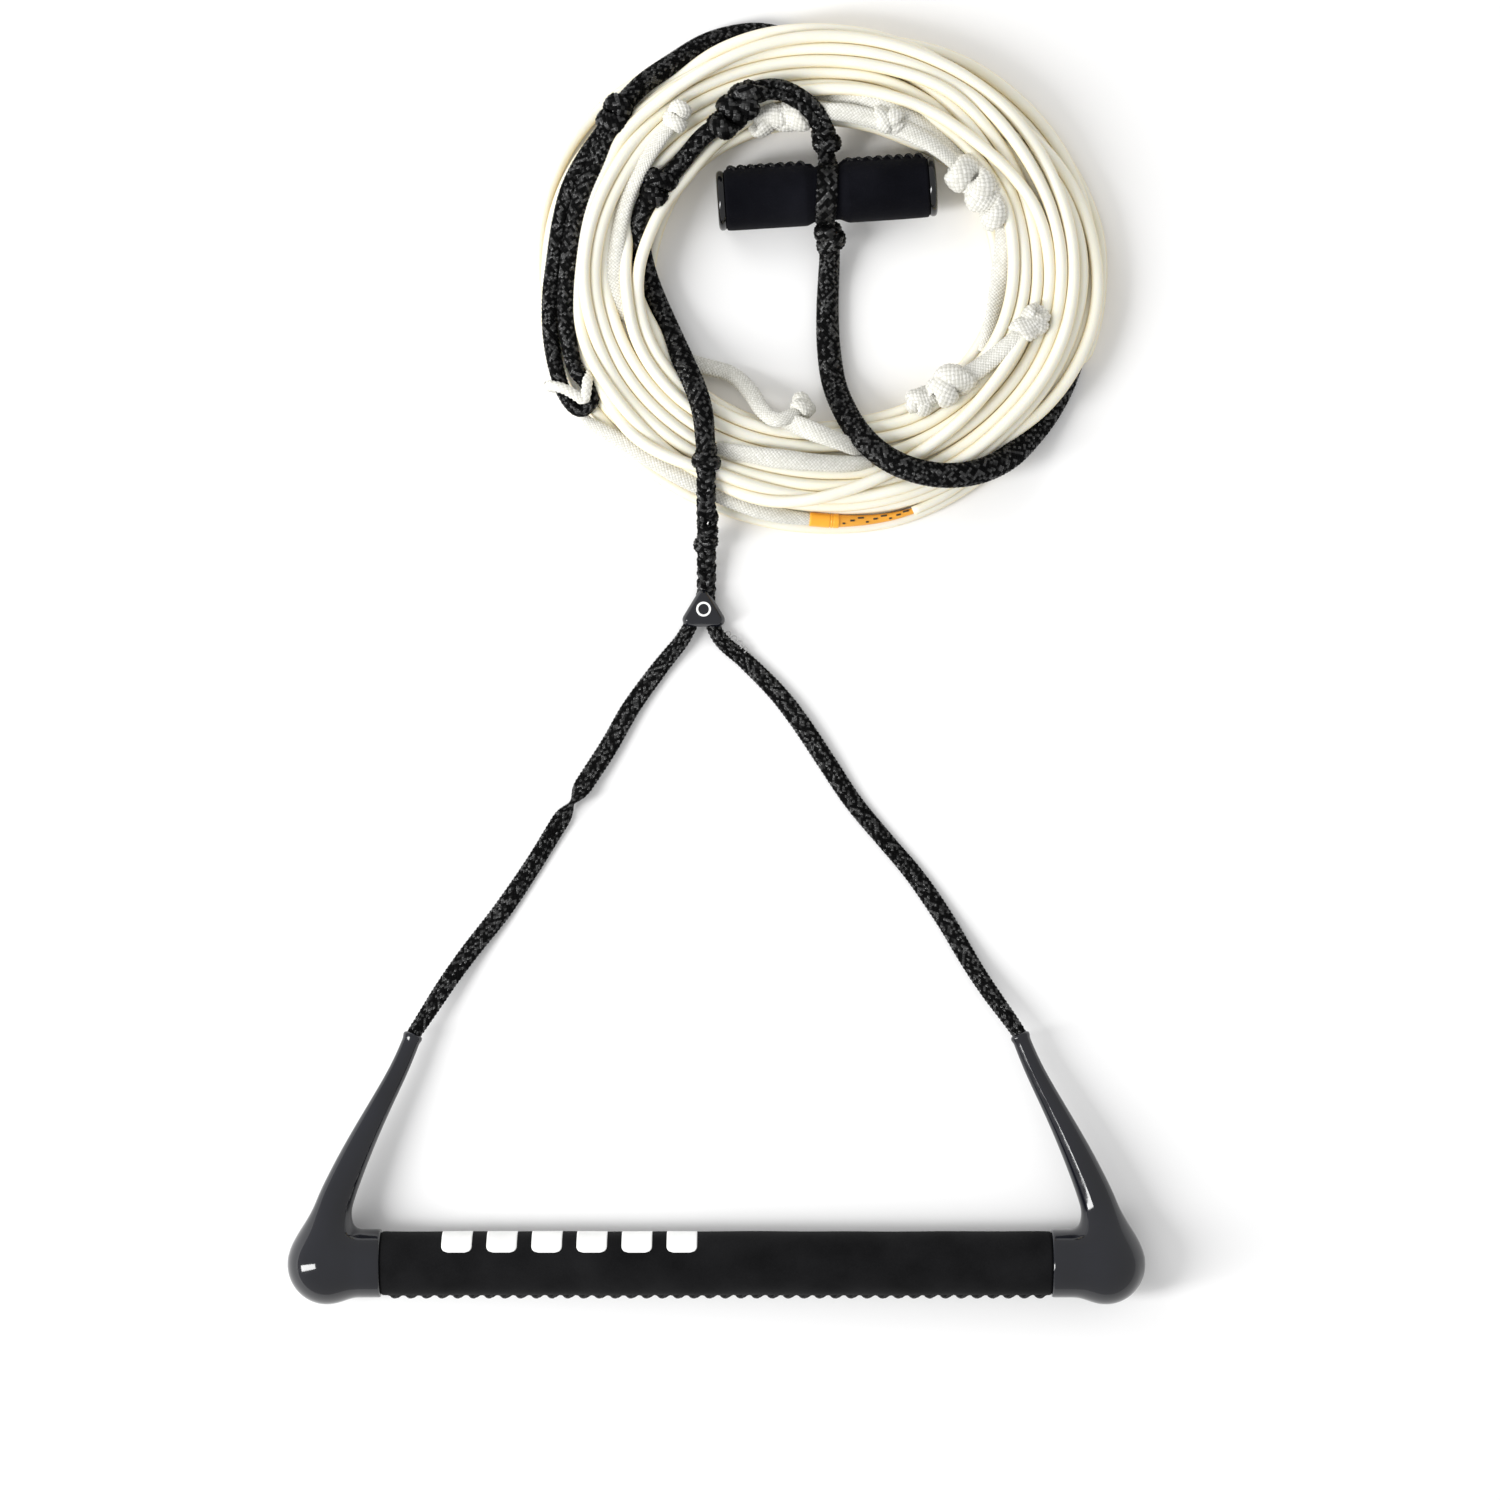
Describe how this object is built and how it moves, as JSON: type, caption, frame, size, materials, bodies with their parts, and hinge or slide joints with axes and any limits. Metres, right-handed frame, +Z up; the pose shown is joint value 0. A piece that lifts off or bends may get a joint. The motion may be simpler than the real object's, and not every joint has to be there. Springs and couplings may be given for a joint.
{
  "type": "tow rope handle",
  "caption": "Padded tow bar with moulded end caps on a rope bridle and yoke, a knotted rope with a short cross grip, and a coated main line wound into a flat coil.",
  "frame": {"origin": "middle of the underside of the box round the handle, the yoke and the cross grip, on the surface they lie on", "axes": "+X along the bar to its right end, +Y from the bar towards the yoke and the coil, +Z up from the surface"},
  "size_m": [0.381, 0.5719, 0.0342],
  "materials": {
    "pad": "matte",
    "stitching": "matte",
    "cap": "glossy",
    "bar": "satin",
    "float_foam": "matte",
    "black_rope": "slightly shiny",
    "white_braid": "slightly shiny",
    "coated_line": "satin",
    "marker": "satin",
    "badge": "satin"
  },
  "bodies": {
    "rope": {"yoke": "cap", "yoke_badge": "badge", "bridle_roots": "black_rope", "lower_plait": "black_rope", "plait_knot": "black_rope", "upper_plait": "black_rope", "plait_end_knot": "black_rope", "riser_rope": "black_rope", "riser_knot": "black_rope", "crown_knot": "black_rope", "left_arch_strand": "black_rope", "right_arch_strand": "black_rope", "grip_top_knot": "black_rope", "upper_grip_strap": "black_rope", "lower_grip_strap": "black_rope", "grip_bottom_knot": "black_rope", "tail_rope": "black_rope", "tail_knot": "black_rope", "tail_loop": "black_rope", "loop_hitch": "white_braid", "lead_braid": "white_braid", "length_marker": "marker", "main_line_coil": "coated_line", "splice_left": "white_braid", "splice_bottom": "white_braid", "splice_lower_right": "white_braid", "splice_right": "white_braid", "splice_top": "white_braid", "splice_top_inner": "white_braid", "splice_on_coil": "white_braid", "splice_knots": "white_braid"},
    "bridle": {"left_bridle_leg": "black_rope", "right_bridle_leg": "black_rope"},
    "handle": {"bar_tube": "bar", "grip_sleeve": "pad", "grip_stitching": "stitching", "left_end_cap": "cap", "right_end_cap": "cap", "left_float_plug": "float_foam", "right_float_plug": "float_foam", "through_rope": "black_rope"},
    "cross_grip": {"cross_grip_core": "bar", "cross_grip_sleeve": "pad", "cross_grip_stitching": "stitching", "cross_grip_left_cap": "cap", "cross_grip_right_cap": "cap"}
  },
  "joints": [
    {"name": "bridle_fold", "type": "hinge", "parent": "rope", "child": "bridle", "pos_m": [-0.0067, 0.0402, 0.0045], "axis": [-1, 0, 0], "range_deg": [0, 120]},
    {"name": "handle_tilt", "type": "hinge", "parent": "bridle", "child": "handle", "pos_m": [0, -0.137, 0.0098], "axis": [-1, 0, 0], "range_deg": [0, 110]},
    {"name": "cross_grip_roll", "type": "hinge", "parent": "rope", "child": "cross_grip", "pos_m": [0.0492, 0.2385, 0.015], "axis": [0.9977, 0.068, 0], "continuous": true}
  ]
}
